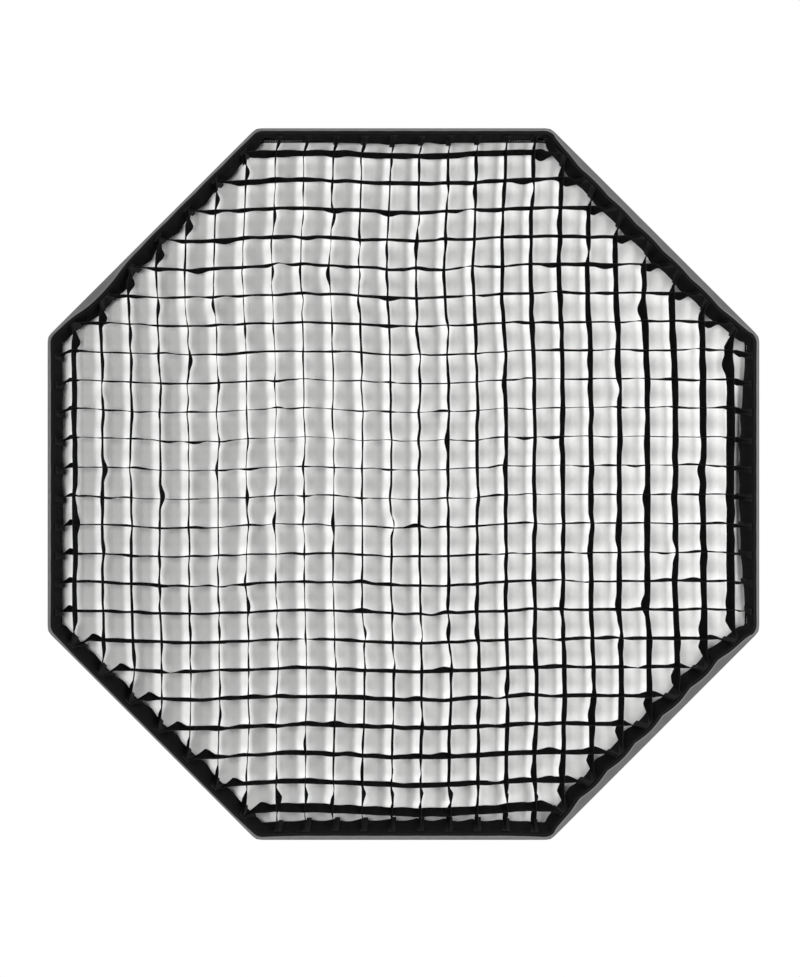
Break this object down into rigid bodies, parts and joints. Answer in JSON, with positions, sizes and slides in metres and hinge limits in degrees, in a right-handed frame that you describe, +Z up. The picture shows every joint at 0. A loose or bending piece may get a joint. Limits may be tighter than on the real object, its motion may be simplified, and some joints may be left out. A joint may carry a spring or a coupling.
{
  "type": "studio softbox",
  "caption": "Octagonal rod-framed studio softbox with a recessed front, a peel-off fabric grid, two white diffusers and a turning bayonet speedring.",
  "frame": {"origin": "on the softbox's axis, in the seat face of the bayonet adapter", "axes": "+Z up, +Y along the axis towards the light it hangs on, lit front faces -Y, +X to the right seen from the front"},
  "size_m": [1.22, 0.53, 1.22],
  "materials": {
    "adapter_steel": "satin chromed pressed steel",
    "ring_aluminium": "black powder-coated cast aluminium",
    "clip_steel": "zinc-plated pressed steel",
    "screw_steel": "zinc-plated steel",
    "pad_nylon": "natural nylon",
    "knob_plastic": "moulded black ABS",
    "socket_steel": "nickel-plated drawn tube",
    "rod_fibreglass": "black pultruded fibreglass",
    "cap_plastic": "moulded black PVC",
    "clip_plastic": "moulded black nylon",
    "webbing": "black woven polypropylene webbing",
    "binding_tape": "black woven binding tape",
    "piping": "dark grey woven piping",
    "skirt_nylon": "black coated nylon",
    "shell_nylon": "black nylon with a silver lining",
    "loop_tape": "black loop tape",
    "hook_tape": "black hook tape",
    "elastic_tape": "white elastic tape",
    "diffuser_fabric": "white diffusion nylon",
    "grid_nylon": "black coated nylon"
  },
  "bodies": {
    "adapter": {"bayonet_adapter": "adapter_steel"},
    "softbox": {"speedring": "ring_aluminium", "adapter_clips": "clip_steel", "clip_screws": "screw_steel", "rod_sockets": "socket_steel", "rod_1": "rod_fibreglass", "rod_2": "rod_fibreglass", "rod_3": "rod_fibreglass", "rod_4": "rod_fibreglass", "rod_5": "rod_fibreglass", "rod_6": "rod_fibreglass", "rod_7": "rod_fibreglass", "rod_8": "rod_fibreglass", "rod_tip_caps": "cap_plastic", "corner_pockets": "webbing", "shell_panel_1": "shell_nylon", "shell_panel_2": "shell_nylon", "shell_panel_3": "shell_nylon", "shell_panel_4": "shell_nylon", "shell_panel_5": "shell_nylon", "shell_panel_6": "shell_nylon", "shell_panel_7": "shell_nylon", "shell_panel_8": "shell_nylon", "seam_bindings": "binding_tape", "rear_collar": "webbing", "seam_piping": "piping", "front_skirt": "skirt_nylon", "hem_loop_tape": "loop_tape", "front_diffuser": "diffuser_fabric", "diffuser_edge_tape": "hook_tape", "inner_diffuser": "diffuser_fabric", "inner_diffuser_tabs": "elastic_tape", "rod_clips": "clip_plastic"},
    "lock_pad": {"lock_pad": "pad_nylon"},
    "lock_knob": {"lock_knob": "knob_plastic", "lock_screw": "screw_steel"},
    "grid": {"grid_hook_tape": "hook_tape", "grid_border": "grid_nylon", "grid_upright_strips": "grid_nylon", "grid_cross_strips": "grid_nylon"}
  },
  "joints": [
    {"name": "ring_turn", "type": "hinge", "parent": "adapter", "child": "softbox", "pos_m": [0, 0, 0], "axis": [0, 1, 0], "continuous": true},
    {"name": "lock_press", "type": "slide", "parent": "softbox", "child": "lock_pad", "axis": [0, 0, 1], "range_m": [-0.0008, 0]},
    {"name": "lock_turn", "type": "hinge", "parent": "lock_pad", "child": "lock_knob", "pos_m": [0, -0.0065, -0.09], "axis": [0, 0, 1], "range_deg": [-360, 0]},
    {"name": "grid_pull_off", "type": "slide", "parent": "softbox", "child": "grid", "axis": [0, -1, 0], "range_m": [0, 0.15]}
  ],
  "couplings": [
    {"joint": "lock_press", "follows": "lock_turn", "m_per_rad": 0.00012732}
  ]
}
